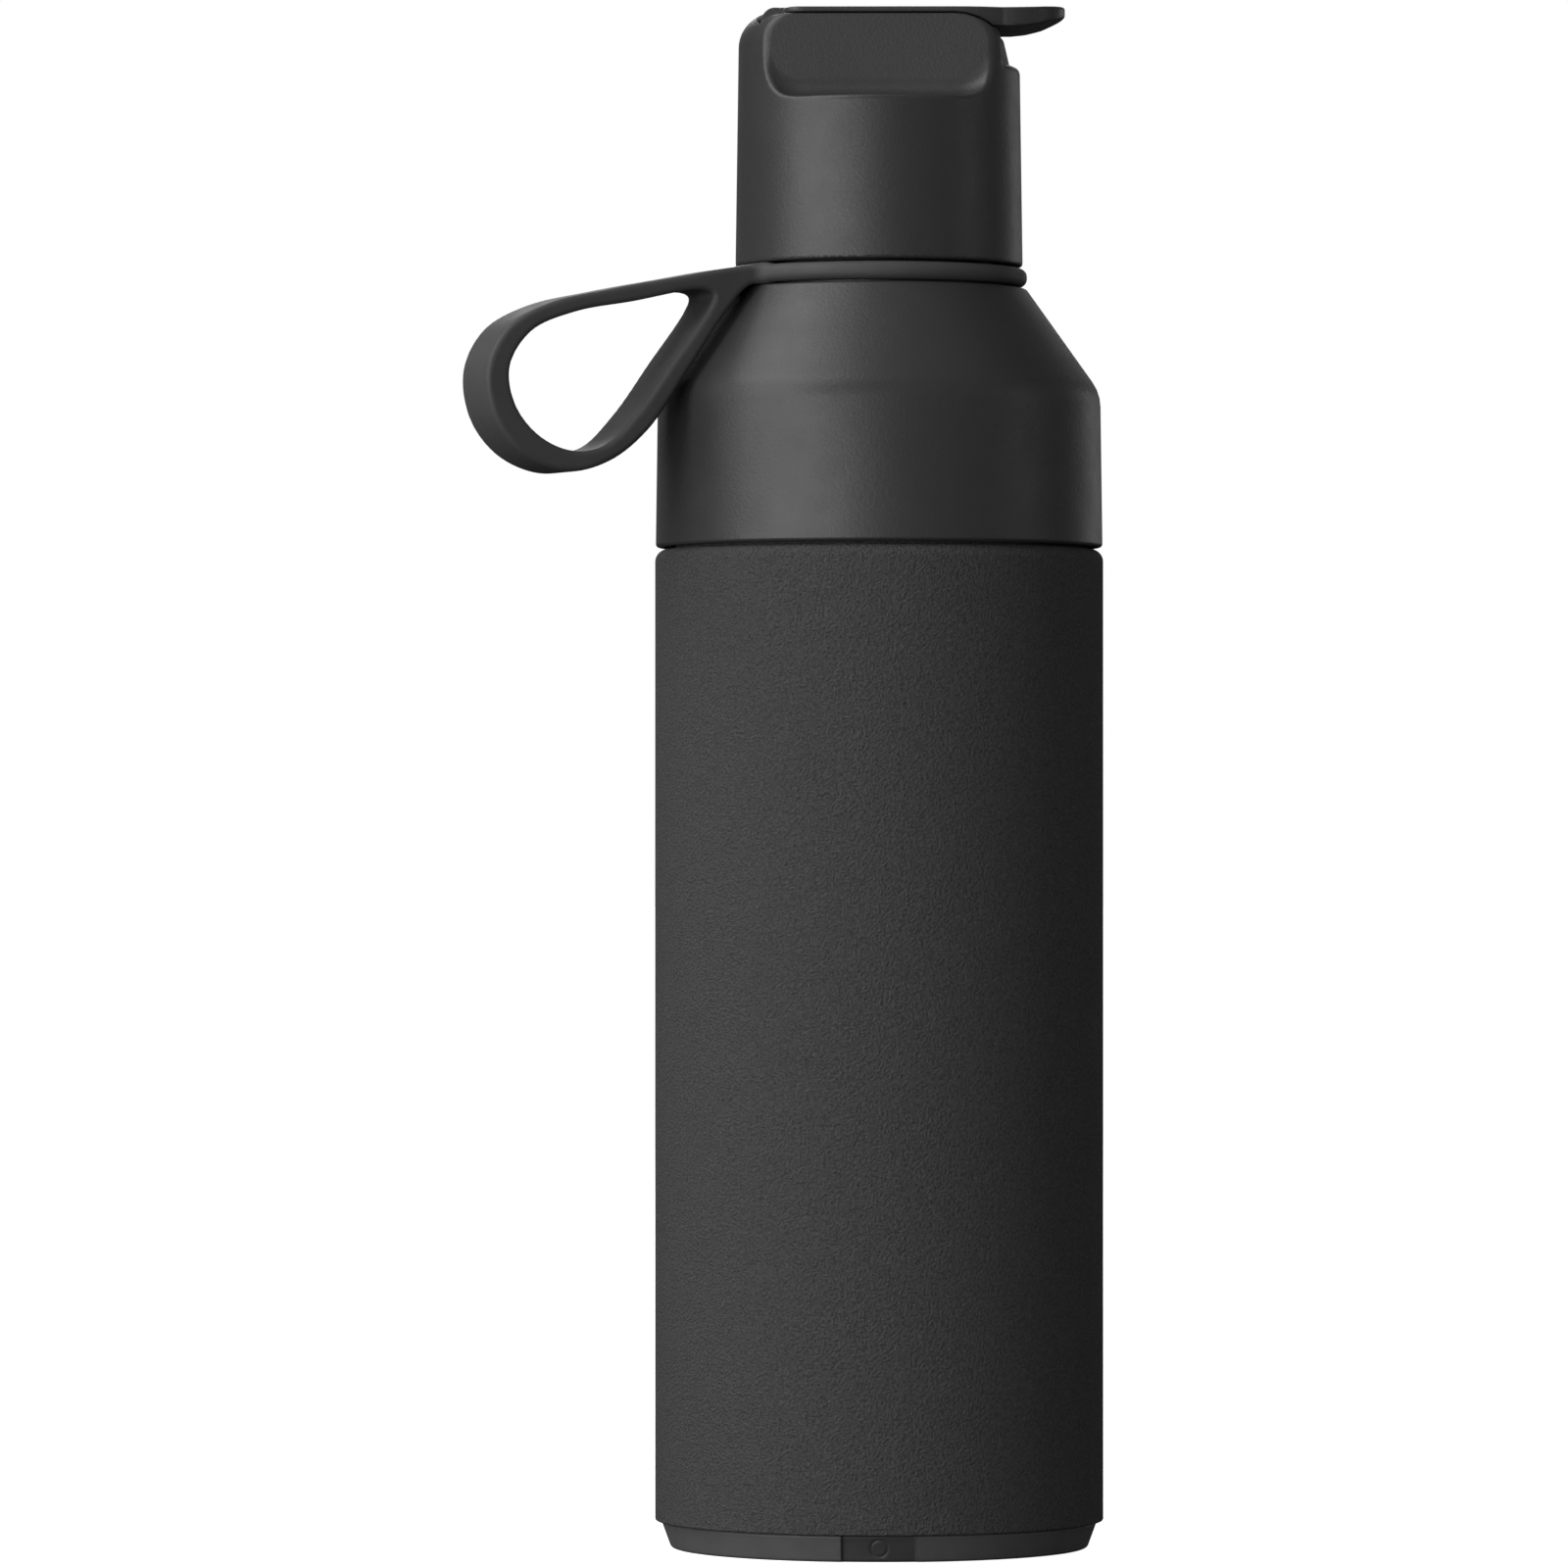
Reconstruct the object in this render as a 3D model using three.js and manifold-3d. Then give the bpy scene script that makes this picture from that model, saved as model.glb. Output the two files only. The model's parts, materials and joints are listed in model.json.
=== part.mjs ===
// Insulated water bottle: double-wall flask, screw-on collar with a drinking neck, screw-on
// spout cap with a flip lid, and a silicone carry strap round the neck.
// Millimetres, +Z up, origin on the flask's axis at the underside of the base boot.
// +X is the drinking side and -X the lid's hinge side.
import * as THREE from 'three';
import { mergeVertices } from 'three/addons/utils/BufferGeometryUtils.js';
import Module from 'manifold-3d';

const wasm = await Module();
wasm.setup();

// ---- Driving dimensions -------------------------------------------------------------------
const GAP = 0.3; // clearance between neighbouring pieces
const AROUND = 48; // facets round every turned piece

const BODY_R = 36.5; // outside of the flask
const BOOT_TOP = 4.15; // top edge of the base boot
const BOOT_FOOT_R = 32.9; // flat underside of the boot
const BOOT_TOP_R = 35.5;
const PANEL_WIDTH = 12.3; // shallow panel on the front of the boot
const FLASK_TOP = 162.7; // shoulder of the flask's outer shell
const NECK_TOP = 173.5; // rim of the steel neck

const COLLAR_BOTTOM = 163.0;
const COLLAR_TOP = 204.8;
const COLLAR_R = 36.4;
const CONE_TOP_R = 24.3; // top edge of the collar's cone

const MOUTH_TOP = 221.9; // rim of the drinking neck
const MOUTH_IN_R = 16.6;
const MOUTH_OUT_R = 18.6; // root of the drinking neck's thread

const CAP_BOTTOM = 208.7;
const CAP_R = 23.4; // at the bottom edge
const CAP_TOP_R = 22.9; // where the shoulder rounding starts
const SHOULDER_R = 5.5; // rounding of the cap's top edge
const SHOULDER_TOP = 249.7; // height that the rounding would end at
const SEAT_Z = 248.75; // top of the cap housing, under the lid
const FLAT_Y = 13.5; // the two side flats of the cap
const FLAT_HALF_WIDTH = 21;
const FLAT_BOTTOM = 235;
const FLAT_CORNER_R = 8.4;
const FRONT_WALL_TOP = 240.9; // the housing is cut down to here in front of the spout
const WINDOW_Y = 10.6; // half width of the housing's top opening
const WINDOW_BACK_X = -13.2;

const LID_TOP = 250; // the level part; the tab's tip rises a little above it
const LID_THICKNESS = 0.95;
const LID_HALF_WIDTH = 12;
const TAB_HALF_WIDTH = 10.3;
const TAB_TIP_X = 30.3;
const LID_BEND_X = 12; // forward of here the lid's underside curves down
const LID_BEND_R = 10.4;
const LID_BEND_DROP = 2.2;
const PIVOT_X = -16.8;
const PIVOT_Z = 247.7;
const KNUCKLE_R = 2.3;
const LUG_Y = 5; // half width of the housing's middle lug
const KNUCKLE_Y = 9.5; // outer ends of the lid's two knuckles
const BOSS_Y = 11.8; // half width of the solid that the hinge is cut into
const LID_OPENING = THREE.MathUtils.degToRad(110);
const PIN_R = 0.8;

const DECK_TOP = 246; // top of the spout piece, under the lid
const SPOUT_R = 21.3;
const MOUTH_HOLE_X = 13.2;
const MOUTH_HOLE_R = 4.2;
const VENT_X = -6;
const VENT_R = 1.7;

const STRAP_WIDTH = 11;
const STRAP_TURN = THREE.MathUtils.degToRad(25); // the loop's plane, turned from -X towards -Y
const RING_IN_R = 20.8;
const RING_OUT_R = 24.1;
const RING_BOTTOM = 205.15;
const RING_TOP = 208.05;
const STRAP_SPLIT = 27.75; // distance from the axis where the loop starts to bend

// Threads, all right-handed and of one pitch
const PITCH = 4;
const THREAD_STEPS = 40; // facets in a turn of thread
const RIDGE_ROOT = 2; // width of a ridge at its root
const RIDGE_CREST = 1;

// ---- Solid helpers ------------------------------------------------------------------------
function toSolid(geometry) {
  const bare = geometry.clone();
  bare.deleteAttribute('normal');
  bare.deleteAttribute('uv');
  const merged = mergeVertices(bare, 1e-4);
  const position = merged.attributes.position.array;
  const index = Array.from(merged.index.array);
  const triangles = [];
  let volume = 0;
  for (let i = 0; i < index.length; i += 3) {
    const [a, b, c] = index.slice(i, i + 3);
    if (a === b || b === c || a === c) continue;
    triangles.push(a, b, c);
    const corners = [a, b, c].map((k) => new THREE.Vector3().fromArray(position, 3 * k));
    volume += corners[0].dot(corners[1].cross(corners[2]));
  }
  if (volume < 0) triangles.reverse();
  return new wasm.Manifold(new wasm.Mesh({
    numProp: 3,
    vertProperties: new Float32Array(position),
    triVerts: new Uint32Array(triangles),
  }));
}

// A profile of [radius, height] points turned round the Z axis.
function turned(profile, around = AROUND) {
  const onAxis = profile[0][0] === 0 && profile.at(-1)[0] === 0;
  const closed = onAxis ? profile : [...profile, profile[0]];
  const points = closed.map(([r, z]) => new THREE.Vector2(r, z));
  return toSolid(new THREE.LatheGeometry(points, around).rotateX(Math.PI / 2));
}

// A plan shape in X and Y, raised from one height to another.
function raised(shape, low, high, curveSegments = 8) {
  const options = { depth: high - low, bevelEnabled: false, curveSegments };
  return toSolid(new THREE.ExtrudeGeometry(shape, options).translate(0, 0, low));
}

// A side shape in X and Z, centred on Y = 0 and 2 * half wide.
function crosswise(shape, half, curveSegments = 8) {
  const options = { depth: 2 * half, bevelEnabled: false, curveSegments };
  const geometry = new THREE.ExtrudeGeometry(shape, options);
  return toSolid(geometry.translate(0, 0, -half).rotateX(Math.PI / 2));
}

function box(low, high) {
  const size = high.map((value, i) => value - low[i]);
  const middle = high.map((value, i) => (value + low[i]) / 2);
  return toSolid(new THREE.BoxGeometry(...size).translate(...middle));
}

// A rod along Y.
function rod(x, z, radius, yLow, yHigh, facets = 20) {
  const geometry = new THREE.CylinderGeometry(radius, radius, yHigh - yLow, facets);
  return toSolid(geometry.translate(x, (yLow + yHigh) / 2, z));
}

function polygon(points) {
  return new THREE.Shape(points.map(([x, y]) => new THREE.Vector2(x, y)));
}

// A rounded rectangle in plan.
function roundedPlan(xLow, xHigh, half, radius) {
  const shape = new THREE.Shape();
  shape.moveTo(xLow + radius, -half);
  shape.lineTo(xHigh - radius, -half);
  shape.absarc(xHigh - radius, -half + radius, radius, -Math.PI / 2, 0);
  shape.absarc(xHigh - radius, half - radius, radius, 0, Math.PI / 2);
  shape.absarc(xLow + radius, half - radius, radius, Math.PI / 2, Math.PI);
  shape.absarc(xLow + radius, -half + radius, radius, Math.PI, 1.5 * Math.PI);
  return shape;
}

// Points on an arc round [x, y], from one angle to another in degrees.
function arc(x, y, radius, from, to, steps) {
  return Array.from({ length: steps + 1 }, (_, i) => {
    const angle = THREE.MathUtils.degToRad(from + ((to - from) * i) / steps);
    return [x + radius * Math.cos(angle), y + radius * Math.sin(angle)];
  });
}

// One turn of thread: a bar bent into a helix, with its ends running out into the wall.
// The root is sunk into the wall, and crestR lies outside or inside it.
function threadRidge(wallR, crestR, start) {
  const sink = 0.4 * Math.sign(wallR - crestR);
  const bar = new THREE.BoxGeometry(1, 1, 1, THREAD_STEPS, 1, 1);
  const position = bar.attributes.position;
  for (let i = 0; i < position.count; i += 1) {
    const along = position.getX(i) + 0.5;
    const onCrest = position.getY(i) > 0;
    const runOut = THREE.MathUtils.clamp(Math.min(along, 1 - along) / 0.08, 0, 1);
    const rootR = wallR + sink;
    const radius = onCrest ? THREE.MathUtils.lerp(wallR + sink / 2, crestR, runOut) : rootR;
    const width = onCrest ? RIDGE_CREST : RIDGE_ROOT;
    const angle = 2 * Math.PI * along;
    position.setXYZ(
      i,
      radius * Math.cos(angle),
      radius * Math.sin(angle),
      start + PITCH * along + position.getZ(i) * width,
    );
  }
  return toSolid(bar);
}

// ---- The flask ----------------------------------------------------------------------------
const SHELL_WALL = 0.8;
const BOTTOM_PLATE_R = 35.4;
const INNER_R = 32.2; // inside of the inner flask
const INNER_BOTTOM = 11.4;
const STEEL_NECK_R = 33.0; // root of the flask's thread

function outerShell() {
  const inR = BODY_R - SHELL_WALL;
  const bottom = BOOT_TOP + 0.25;
  return turned([
    [inR, bottom], [BODY_R - 0.7, bottom], [BODY_R, bottom + 0.7],
    ...arc(BODY_R - 2, FLASK_TOP - 2, 2, 0, 90, 4),
    [STEEL_NECK_R + 1.3, FLASK_TOP], [STEEL_NECK_R + 1.3, FLASK_TOP - SHELL_WALL],
    ...arc(BODY_R - 2, FLASK_TOP - 2, 2 - SHELL_WALL, 90, 0, 3),
  ]);
}

function bottomPlate() {
  const low = BOOT_TOP + 0.35;
  return turned([
    [0, low + 3.3], [27.5, low + 3.3], [30, low], [BOTTOM_PLATE_R, low],
    [BOTTOM_PLATE_R, low + SHELL_WALL], [30.6, low + SHELL_WALL],
    [28.1, low + 3.3 + SHELL_WALL], [0, low + 3.3 + SHELL_WALL],
  ]).subtract(turned([[0, low + 2], [1.6, low + 2], [1.6, low + 5], [0, low + 5]], 16));
}

function sealingPlug() {
  const low = BOOT_TOP + 3.6;
  return turned([[0, low], [1.3, low], [1.3, low + 1.4], [0, low + 1.4]], 12);
}

function innerFlask() {
  const wall = 0.8;
  const outR = INNER_R + wall;
  const bend = 6;
  const body = turned([
    [0, INNER_BOTTOM],
    ...arc(outR - bend, INNER_BOTTOM + bend, bend, -90, 0, 3),
    [STEEL_NECK_R, NECK_TOP - 0.5], [STEEL_NECK_R - 0.5, NECK_TOP],
    [STEEL_NECK_R - 1.4, NECK_TOP], [STEEL_NECK_R - 1.4, FLASK_TOP - 3], [INNER_R, FLASK_TOP - 6],
    ...arc(outR - bend, INNER_BOTTOM + bend, bend - wall, 0, -90, 3),
    [0, INNER_BOTTOM + wall],
  ]);
  return body.add(threadRidge(STEEL_NECK_R, STEEL_NECK_R + 1, FLASK_TOP + 3.3));
}

function getter() {
  const disc = turned([[0, 9.1], [5, 9.1], [5, 10.3], [4.2, 10.9], [0, 10.9]], 20);
  return disc.translate([12, 0, 0]);
}

function baseBoot() {
  const plugTop = BOOT_TOP + 3.3;
  const boot = turned([
    [0, 0], [BOOT_FOOT_R, 0], [BOOT_FOOT_R + 0.8, 0.15], [BOOT_FOOT_R + 1.15, 0.6],
    [BOOT_TOP_R, BOOT_TOP],
    [29.8, BOOT_TOP], [27.3, plugTop], [0, plugTop],
  ]);
  const half = PANEL_WIDTH / 2;
  const depth = 0.95; // behind the boot's top edge
  const lean = 0.48; // the panel's face leans in towards the foot
  const thick = 2;
  const panel = crosswise(polygon([
    [-half, -1], [half, -1], [half, BOOT_TOP + 1], [-half, BOOT_TOP + 1],
  ]), thick);
  const sheared = panel.warp((point) => {
    point[1] += lean * (BOOT_TOP - point[2]) - (BOOT_TOP_R - depth + thick);
  });
  return boot.subtract(sheared);
}

// ---- The collar ---------------------------------------------------------------------------
function collarShell() {
  const wall = 1.1;
  const slope = [[36.1, 185.8], [35.9, 187.4], [34.7, 189.7]];
  const inside = slope.map(([r, z]) => [r - wall, z - 0.35]).reverse();
  return turned([
    [COLLAR_R - 0.6, COLLAR_BOTTOM], [COLLAR_R, COLLAR_BOTTOM + 0.6],
    ...slope,
    [CONE_TOP_R, COLLAR_TOP - 0.45], [CONE_TOP_R - 0.5, COLLAR_TOP],
    [20.75, COLLAR_TOP], [20.75, COLLAR_TOP - 1.2], [23.6, COLLAR_TOP - 1.2],
    ...inside,
    [COLLAR_R - wall, COLLAR_BOTTOM],
  ]);
}

function collarCore() {
  const outR = 35.0;
  const threadR = 34.3; // wall behind the female thread
  const shoulder = 175.5;
  const body = turned([
    [threadR, COLLAR_BOTTOM + 0.4], [outR, COLLAR_BOTTOM + 0.4],
    [34.7, 185.4], [33.3, 189], [23.2, COLLAR_TOP - 1.6],
    [20.4, COLLAR_TOP - 1.5], [20.4, CAP_BOTTOM - 0.3], [MOUTH_OUT_R, CAP_BOTTOM - 0.3],
    [MOUTH_OUT_R, MOUTH_TOP - 0.5], [MOUTH_OUT_R - 0.5, MOUTH_TOP],
    [MOUTH_IN_R + 0.5, MOUTH_TOP], [MOUTH_IN_R, MOUTH_TOP - 0.5],
    [MOUTH_IN_R, 208.5], [31.4, 187], [31.4, shoulder], [threadR, shoulder],
  ]);
  return body
    .add(threadRidge(threadR, threadR - 1, FLASK_TOP + 1.3))
    .add(threadRidge(MOUTH_OUT_R, MOUTH_OUT_R + 1.1, 213));
}

function collarSeal() {
  const low = NECK_TOP + GAP;
  return turned([[31.7, low], [34, low], [34, low + 1.4], [31.7, low + 1.4]]);
}

// ---- The cap ------------------------------------------------------------------------------
const CAVITY_R = 21.8;
const ROOF = 223.5; // underside of the cap core's roof
const BOSS_BOTTOM = 242; // underside of the solid round the hinge
const FAR = 40; // beyond every side of the cap
const SKY = 270; // above the whole bottle

// Everything above the cap housing's seat, which is level and then curves down to the tab.
function aboveSeat(drop) {
  const level = LID_TOP - LID_THICKNESS - drop;
  const bendEnd = THREE.MathUtils.radToDeg(Math.acos(1 - LID_BEND_DROP / LID_BEND_R));
  const bend = arc(LID_BEND_X, level - LID_BEND_R, LID_BEND_R, 90, 90 - bendEnd, 5);
  return crosswise(polygon([
    [-FAR, level], ...bend, [FAR, level - LID_BEND_DROP], [FAR, SKY], [-FAR, SKY],
  ]), FAR);
}

function capForm() {
  const form = turned([
    [0, CAP_BOTTOM], [CAP_R - 0.4, CAP_BOTTOM], [CAP_R, CAP_BOTTOM + 0.4],
    ...arc(CAP_TOP_R - SHOULDER_R, SHOULDER_TOP - SHOULDER_R, SHOULDER_R, 0, 90, 6),
    [0, SHOULDER_TOP],
  ]);
  const cornerX = FLAT_HALF_WIDTH - FLAT_CORNER_R;
  const cornerZ = FLAT_BOTTOM + FLAT_CORNER_R;
  const recess = new THREE.Shape();
  recess.moveTo(-FAR, SKY);
  recess.lineTo(-FAR, cornerZ);
  recess.absarc(-cornerX, cornerZ, FLAT_CORNER_R, Math.PI, 1.5 * Math.PI);
  recess.absarc(cornerX, cornerZ, FLAT_CORNER_R, 1.5 * Math.PI, 2 * Math.PI);
  recess.lineTo(FAR, cornerZ);
  recess.lineTo(FAR, SKY);
  const cutDepth = 8;
  const cut = crosswise(recess, cutDepth, 6);
  return form
    .subtract(cut.translate([0, FLAT_Y + cutDepth, 0]))
    .subtract(cut.translate([0, -FLAT_Y - cutDepth, 0]));
}

// The room that the lid's knuckles need as they turn, on both sides of the middle lug.
function hingeSlots() {
  const half = KNUCKLE_Y + GAP;
  const reach = KNUCKLE_R + GAP;
  const lean = LID_OPENING + Math.PI / 2; // direction that the open lid's top face looks in
  const tangent = [PIVOT_X + reach * Math.cos(lean), PIVOT_Z + reach * Math.sin(lean)];
  const rise = 4; // along the open lid, past the top of the shoulder
  const swing = polygon([
    [PIVOT_X, PIVOT_Z], tangent,
    [tangent[0] + rise * Math.sin(lean), tangent[1] - rise * Math.cos(lean)],
    [PIVOT_X, PIVOT_Z + rise],
  ]);
  return rod(PIVOT_X, PIVOT_Z, reach, -half, half)
    .add(crosswise(swing, half))
    .subtract(box([-FAR, -LUG_Y, 0], [0, LUG_Y, SKY]));
}

function capShell() {
  const flatWall = 1.5;
  const insideTop = SEAT_Z - flatWall;
  const lower = turned([
    [0, CAP_BOTTOM - 5], [CAVITY_R, CAP_BOTTOM - 5], [CAVITY_R, FLAT_BOTTOM - flatWall],
    [0, FLAT_BOTTOM - flatWall],
  ]);
  const upper = turned([
    [0, FLAT_BOTTOM - 4], [CAVITY_R, FLAT_BOTTOM - 4], [CAVITY_R, BOSS_BOTTOM + 0.5],
    [20.2, insideTop - 1.25], [18, insideTop], [0, insideTop],
  ]).intersect(box([-FAR, flatWall - FLAT_Y, 0], [FAR, FLAT_Y - flatWall, SKY]));
  const boss = box([-FAR, -BOSS_Y, BOSS_BOTTOM], [WINDOW_BACK_X, BOSS_Y, SKY]);
  const window = crosswise(polygon([
    [WINDOW_BACK_X, BOSS_BOTTOM], [10, BOSS_BOTTOM], [10, FRONT_WALL_TOP],
    [FAR, FRONT_WALL_TOP], [FAR, SKY], [WINDOW_BACK_X, SKY],
  ]), WINDOW_Y);
  const raisedBack = box([-FAR, -LUG_Y, SEAT_Z - 1], [PIVOT_X, LUG_Y, SKY]);
  return capForm()
    .subtract(aboveSeat(GAP).subtract(raisedBack))
    .add(rod(PIVOT_X, PIVOT_Z, KNUCKLE_R, -LUG_Y, LUG_Y))
    .subtract(lower.add(upper).subtract(boss))
    .subtract(window)
    .subtract(hingeSlots())
    .subtract(rod(PIVOT_X, PIVOT_Z, PIN_R + GAP, -LUG_Y - GAP, LUG_Y + GAP, 12));
}

function capCore() {
  const outR = CAVITY_R - GAP;
  const threadR = 20.0;
  const body = turned([
    [threadR, CAP_BOTTOM + 0.5], [outR, CAP_BOTTOM + 0.5], [outR, ROOF + 2], [0, ROOF + 2],
    [0, ROOF], [threadR, ROOF],
  ]);
  const flow = turned([[0, ROOF - 1], [6, ROOF - 1], [6, ROOF + 3], [0, ROOF + 3]], 24);
  const air = turned([[0, ROOF - 1], [1.5, ROOF - 1], [1.5, ROOF + 3], [0, ROOF + 3]], 12);
  return body
    .add(threadRidge(threadR, threadR - 1.1, 211))
    .subtract(flow.translate([8, 0, 0]))
    .subtract(air.translate([VENT_X, 0, 0]));
}

function capSeal() {
  const low = MOUTH_TOP + GAP;
  return turned([[16.7, low], [19.4, low], [19.4, low + 1], [16.7, low + 1]]);
}

function spout() {
  const wall = 1.5;
  const low = ROOF + 2 + GAP;
  const back = WINDOW_BACK_X + GAP;
  const side = WINDOW_Y - GAP;
  const outside = turned([
    [0, low], [SPOUT_R, low], [SPOUT_R, FRONT_WALL_TOP + 0.1], [20.35, DECK_TOP - 0.8],
    [19.55, DECK_TOP], [0, DECK_TOP],
  ]).intersect(box([back, -side, 0], [FAR, side, SKY]));
  const inside = turned([
    [0, low - 2], [SPOUT_R - wall, low - 2], [SPOUT_R - wall, FRONT_WALL_TOP],
    [18.8, DECK_TOP - 2.6], [0, DECK_TOP - 2.6],
  ]).intersect(box([back + wall, wall - side, 0], [FAR, side - wall, SKY]));
  const hole = (r, facets) => turned([[0, 240], [r, 240], [r, 250], [0, 250]], facets);
  return outside
    .subtract(inside)
    .subtract(hole(MOUTH_HOLE_R, 24).translate([MOUTH_HOLE_X, 0, 0]))
    .subtract(hole(VENT_R, 12).translate([VENT_X, 0, 0]));
}

// ---- The flip lid -------------------------------------------------------------------------
// The tab's top and underside, as distance from the axis and height.
const TAB_TOP_CURVE = [[20, LID_TOP], [24, 250.12], [27, 250.36], [TAB_TIP_X, 250.8]];
const TAB_UNDER_CURVE = [
  [21.5, 246.85], [24, 247.05], [26.5, 247.55], [28.3, 248.2], [29.6, 248.7], [TAB_TIP_X, 249.1],
];

function lidPlan() {
  const tabX = TAB_TIP_X - TAB_HALF_WIDTH;
  const tabCurveX = 16; // where the sides draw in to the tab
  const lugRoomX = PIVOT_X + KNUCKLE_R + 0.4; // the middle lug passes behind this
  const backX = -15.4;
  const corner = 3;
  const inner = LUG_Y + GAP;
  const plan = new THREE.Shape();
  plan.moveTo(lugRoomX, inner);
  plan.lineTo(lugRoomX, -inner);
  plan.lineTo(PIVOT_X, -inner);
  plan.lineTo(PIVOT_X, -KNUCKLE_Y);
  plan.lineTo(backX, -KNUCKLE_Y);
  plan.absarc(backX + corner, -LID_HALF_WIDTH + corner, corner, Math.PI, 1.5 * Math.PI);
  plan.lineTo(LID_BEND_X, -LID_HALF_WIDTH);
  plan.quadraticCurveTo(tabCurveX, -LID_HALF_WIDTH, tabX, -TAB_HALF_WIDTH);
  plan.absarc(tabX, 0, TAB_HALF_WIDTH, -Math.PI / 2, Math.PI / 2);
  plan.quadraticCurveTo(tabCurveX, LID_HALF_WIDTH, LID_BEND_X, LID_HALF_WIDTH);
  plan.absarc(backX + corner, LID_HALF_WIDTH - corner, corner, Math.PI / 2, Math.PI);
  plan.lineTo(backX, KNUCKLE_Y);
  plan.lineTo(PIVOT_X, KNUCKLE_Y);
  plan.lineTo(PIVOT_X, inner);
  return plan;
}

function flipLid() {
  const aboveTop = crosswise(polygon([
    [-FAR, LID_TOP], ...TAB_TOP_CURVE, [FAR, SKY], [-FAR, SKY],
  ]), FAR);
  const underTab = crosswise(polygon([
    [TAB_UNDER_CURVE[0][0], 200], ...TAB_UNDER_CURVE, [FAR, 260], [FAR, 200],
  ]), FAR);
  const inner = LUG_Y + GAP;
  return raised(lidPlan(), 200, SKY)
    .intersect(aboveSeat(0))
    .subtract(aboveTop)
    .subtract(underTab)
    .add(rod(PIVOT_X, PIVOT_Z, KNUCKLE_R, inner, KNUCKLE_Y))
    .add(rod(PIVOT_X, PIVOT_Z, KNUCKLE_R, -KNUCKLE_Y, -inner))
    .subtract(rod(PIVOT_X, PIVOT_Z, PIN_R + GAP, 0.5 - KNUCKLE_Y, KNUCKLE_Y - 0.5, 12));
}

function lidLiner() {
  return raised(roundedPlan(-11.5, 17, 9.6, 4), DECK_TOP + 0.35, 255, 4).subtract(aboveSeat(GAP));
}

function lidPlug(x, radius, low) {
  const high = DECK_TOP + 0.05;
  const plug = turned([[0, low], [radius - 0.3, low], [radius, low + 0.3], [radius, high],
    [0, high]], 20);
  return plug.translate([x, 0, 0]);
}

function hingePin() {
  return rod(PIVOT_X, PIVOT_Z, PIN_R, 0.8 - KNUCKLE_Y, KNUCKLE_Y - 0.8, 12);
}

// ---- The strap ----------------------------------------------------------------------------
// Outlines in the loop's own plane: distance from the bottle's axis, then height.
const LOOP_OUTSIDE = [
  [27.9, 207.5], [38.5, 205.6], [50, 203.4], [60.5, 200.9], [67.7, 196.9], [71.2, 190.4],
  [70.1, 182.6], [65.2, 176.7], [57.6, 174], [50, 175.8], [43.2, 181], [36.5, 190.3],
  [27.9, 202.3],
];
const LOOP_HOLE = [
  [33.6, 203.7], [46, 201.5], [56, 199.6], [63.6, 196.3], [67.3, 190.6], [66.3, 184.5],
  [62.2, 179.7], [56.5, 177.4], [50.9, 178.3], [45.2, 183.6], [38.7, 192.3], [32.5, 200.8],
  [31.8, 202.9],
];

function smooth(points, closed, count) {
  const knots = points.map(([u, z]) => new THREE.Vector3(u, z, 0));
  const curve = new THREE.CatmullRomCurve3(knots, closed, 'centripetal');
  const samples = curve.getPoints(count).map(({ x, y }) => [x, y]);
  return closed ? samples.slice(0, -1) : samples;
}

// From the loop's plane to the bottle: its outward direction is -X turned towards -Y.
function inStrapPlane(shape, extra = 0) {
  const degrees = 180 + THREE.MathUtils.radToDeg(STRAP_TURN);
  return crosswise(shape, STRAP_WIDTH / 2 + extra).rotate([0, 0, degrees]);
}

function strapRing() {
  const middle = (RING_TOP + RING_BOTTOM) / 2;
  const bulge = (RING_TOP - RING_BOTTOM) / 2;
  const ring = turned([
    [RING_IN_R, RING_BOTTOM], [RING_OUT_R - bulge, RING_BOTTOM],
    ...arc(RING_OUT_R - bulge, middle, bulge, -60, 60, 4),
    [RING_OUT_R - bulge, RING_TOP], [RING_IN_R, RING_TOP],
  ]);
  const root = inStrapPlane(polygon([
    [22, RING_BOTTOM], [24.4, RING_BOTTOM], [STRAP_SPLIT - 0.15, 202.5],
    [STRAP_SPLIT - 0.15, 207.45], [24.5, RING_TOP], [22, RING_TOP],
  ]));
  return ring.add(root);
}

function strapLoop() {
  const outline = inStrapPlane(polygon(smooth(LOOP_OUTSIDE, false, 36)));
  const hole = inStrapPlane(polygon(smooth(LOOP_HOLE, true, 30)), 1);
  return outline.subtract(hole);
}

// ---- Finishes and assembly ----------------------------------------------------------------
const FINISHES = {
  powder_coat: { color: 0x2b2b2c, roughness: 0.75, metalness: 0 },
  satin_black: { color: 0x2a2a2b, roughness: 0.42, metalness: 0 },
  inner_plastic: { color: 0x232324, roughness: 0.5, metalness: 0 },
  silicone: { color: 0x2c2c2d, roughness: 0.6, metalness: 0 },
  boot_rubber: { color: 0x2d2d2e, roughness: 0.65, metalness: 0 },
  clear_seal: { color: 0xcfd2d4, roughness: 0.45, metalness: 0 },
  steel: { color: 0xb9bbbd, roughness: 0.3, metalness: 1 },
};

const bottle = new THREE.Group();

function place(name, solid, finish) {
  const mesh = solid.getMesh();
  const geometry = new THREE.BufferGeometry();
  geometry.setAttribute('position', new THREE.BufferAttribute(mesh.vertProperties, 3));
  geometry.setIndex(new THREE.BufferAttribute(mesh.triVerts, 1));
  geometry.computeVertexNormals();
  const piece = new THREE.Mesh(geometry, new THREE.MeshStandardMaterial(FINISHES[finish]));
  piece.name = name;
  bottle.add(piece);
}

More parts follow.
